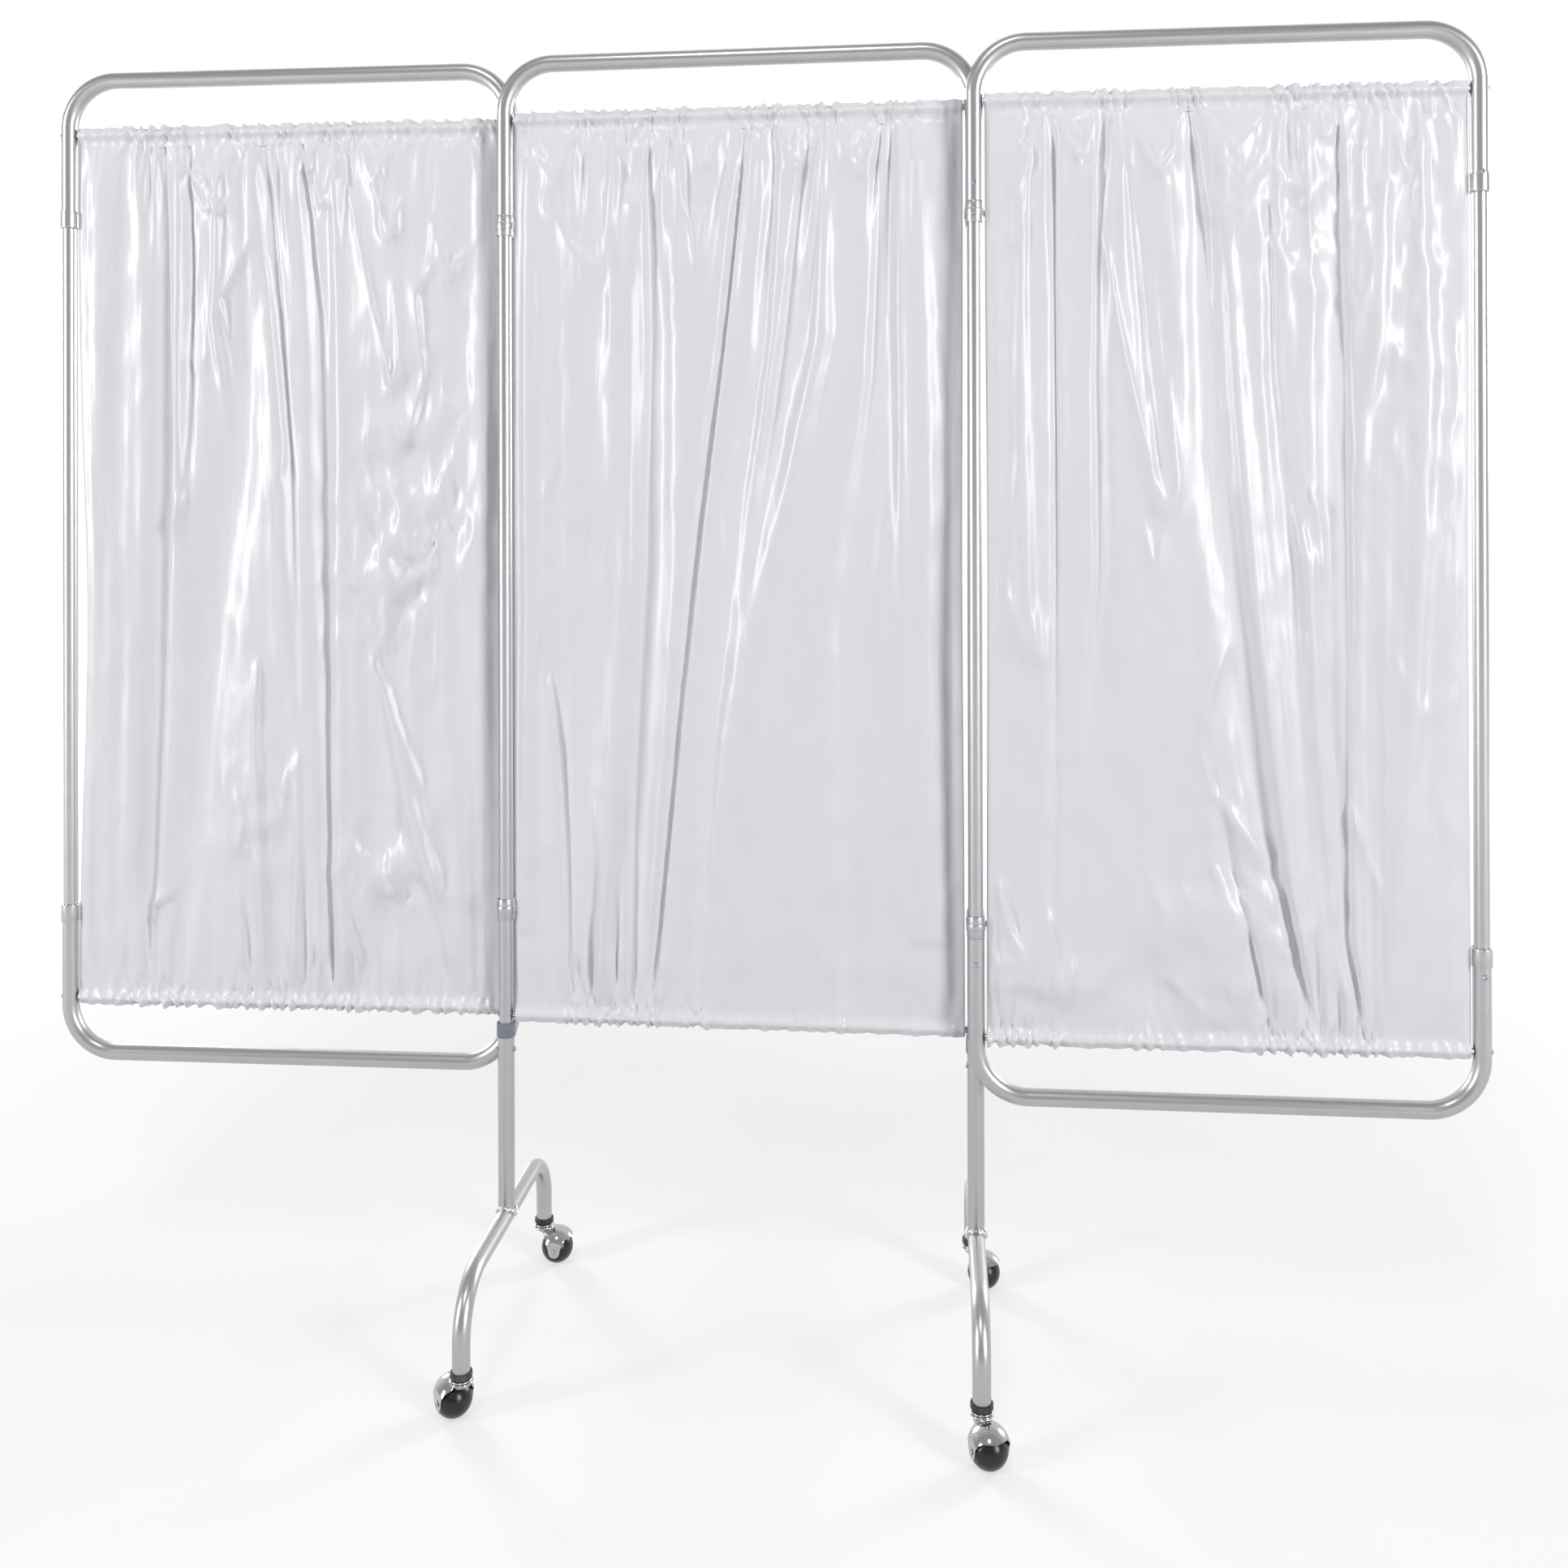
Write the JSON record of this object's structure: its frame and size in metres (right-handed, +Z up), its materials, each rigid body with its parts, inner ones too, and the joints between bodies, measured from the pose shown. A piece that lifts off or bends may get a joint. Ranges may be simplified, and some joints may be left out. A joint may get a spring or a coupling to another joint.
{
  "type": "folding privacy screen",
  "caption": "Folding ward privacy screen: a centre frame on arched feet with ball casters, outer frames hinged on figure-eight clips, and a shirred vinyl curtain in each frame.",
  "frame": {"origin": "on the floor, under the middle of the bounding box", "axes": "+X along the centre frame towards the right-hand frame, +Y to the back, +Z up; the front faces -Y"},
  "size_m": [1.9208, 0.4452, 1.734],
  "materials": {
    "satin_aluminium": "satin drawn tube",
    "bright_steel": "bright plated",
    "grey_plastic": "satin moulded",
    "black_plastic": "satin moulded",
    "black_rubber": "smooth, slightly glossy",
    "white_vinyl": "smooth cool-white vinyl sheet"
  },
  "bodies": {
    "centre_frame": {"centre_top_bow": "satin_aluminium", "centre_left_post": "satin_aluminium", "centre_right_post": "satin_aluminium", "left_leg": "satin_aluminium", "right_leg": "satin_aluminium", "left_leg_collar": "grey_plastic", "right_leg_collar": "grey_plastic", "left_foot": "satin_aluminium", "right_foot": "satin_aluminium", "centre_curtain": "white_vinyl", "centre_top_rod": "bright_steel", "centre_bottom_rod": "bright_steel", "front_left_socket": "black_plastic", "front_left_stem": "bright_steel", "front_right_socket": "black_plastic", "front_right_stem": "bright_steel", "rear_left_socket": "black_plastic", "rear_left_stem": "bright_steel", "rear_right_socket": "black_plastic", "rear_right_stem": "bright_steel"},
    "left_clips": {"left_top_clip": "satin_aluminium", "left_bottom_clip": "satin_aluminium", "left_top_clip_screw": "bright_steel", "left_bottom_clip_screw": "bright_steel"},
    "right_clips": {"right_top_clip": "satin_aluminium", "right_bottom_clip": "satin_aluminium", "right_top_clip_screw": "bright_steel", "right_bottom_clip_screw": "bright_steel"},
    "left_panel": {"left_top_bow": "satin_aluminium", "left_bottom_bow": "satin_aluminium", "left_inner_post": "satin_aluminium", "left_outer_post": "satin_aluminium", "left_top_collar": "satin_aluminium", "left_bottom_collar": "satin_aluminium", "left_curtain": "white_vinyl", "left_top_rod": "bright_steel", "left_bottom_rod": "bright_steel"},
    "right_panel": {"right_top_bow": "satin_aluminium", "right_bottom_bow": "satin_aluminium", "right_inner_post": "satin_aluminium", "right_outer_post": "satin_aluminium", "right_top_collar": "satin_aluminium", "right_bottom_collar": "satin_aluminium", "right_curtain": "white_vinyl", "right_top_rod": "bright_steel", "right_bottom_rod": "bright_steel"},
    "front_left_swivel": {"front_left_hood": "bright_steel", "front_left_axle": "bright_steel"},
    "front_right_swivel": {"front_right_hood": "bright_steel", "front_right_axle": "bright_steel"},
    "rear_left_swivel": {"rear_left_hood": "bright_steel", "rear_left_axle": "bright_steel"},
    "rear_right_swivel": {"rear_right_hood": "bright_steel", "rear_right_axle": "bright_steel"},
    "front_left_ball": {"front_left_wheel": "black_rubber"},
    "front_right_ball": {"front_right_wheel": "black_rubber"},
    "rear_left_ball": {"rear_left_wheel": "black_rubber"},
    "rear_right_ball": {"rear_right_wheel": "black_rubber"}
  },
  "joints": [
    {"name": "left_clips_turn", "type": "hinge", "parent": "centre_frame", "child": "left_clips", "pos_m": [-0.31604, 0.00893, 1], "axis": [0, 0, 1], "range_deg": [0, 30]},
    {"name": "left_panel_fold", "type": "hinge", "parent": "left_clips", "child": "left_panel", "pos_m": [-0.31604, 0.03353, 1], "axis": [0, 0, 1], "range_deg": [-181, 15]},
    {"name": "right_clips_turn", "type": "hinge", "parent": "centre_frame", "child": "right_clips", "pos_m": [0.31596, 0.00893, 1], "axis": [0, 0, 1], "range_deg": [0, 30]},
    {"name": "right_panel_fold", "type": "hinge", "parent": "right_clips", "child": "right_panel", "pos_m": [0.31596, -0.01567, 1], "axis": [0, 0, 1], "range_deg": [-180.5, 15]},
    {"name": "front_left_swivel_turn", "type": "hinge", "parent": "centre_frame", "child": "front_left_swivel", "pos_m": [-0.31604, -0.18107, 0.056], "axis": [0, 0, 1], "continuous": true},
    {"name": "front_right_swivel_turn", "type": "hinge", "parent": "centre_frame", "child": "front_right_swivel", "pos_m": [0.31596, -0.18107, 0.056], "axis": [0, 0, 1], "continuous": true},
    {"name": "rear_left_swivel_turn", "type": "hinge", "parent": "centre_frame", "child": "rear_left_swivel", "pos_m": [-0.31604, 0.19893, 0.056], "axis": [0, 0, 1], "continuous": true},
    {"name": "rear_right_swivel_turn", "type": "hinge", "parent": "centre_frame", "child": "rear_right_swivel", "pos_m": [0.31596, 0.19893, 0.056], "axis": [0, 0, 1], "continuous": true},
    {"name": "front_left_wheel_turn", "type": "hinge", "parent": "front_left_swivel", "child": "front_left_ball", "pos_m": [-0.33019, -0.16692, 0.02295], "axis": [-0.7071, -0.7071, 0], "continuous": true},
    {"name": "front_right_wheel_turn", "type": "hinge", "parent": "front_right_swivel", "child": "front_right_ball", "pos_m": [0.32345, -0.19961, 0.02295], "axis": [0.9272, 0.3746, 0], "continuous": true},
    {"name": "rear_left_wheel_turn", "type": "hinge", "parent": "rear_left_swivel", "child": "rear_left_ball", "pos_m": [-0.29604, 0.19893, 0.02295], "axis": [0, 1, 0], "continuous": true},
    {"name": "rear_right_wheel_turn", "type": "hinge", "parent": "rear_right_swivel", "child": "rear_right_ball", "pos_m": [0.33234, 0.18746, 0.02295], "axis": [0.5736, 0.8192, 0], "continuous": true}
  ]
}
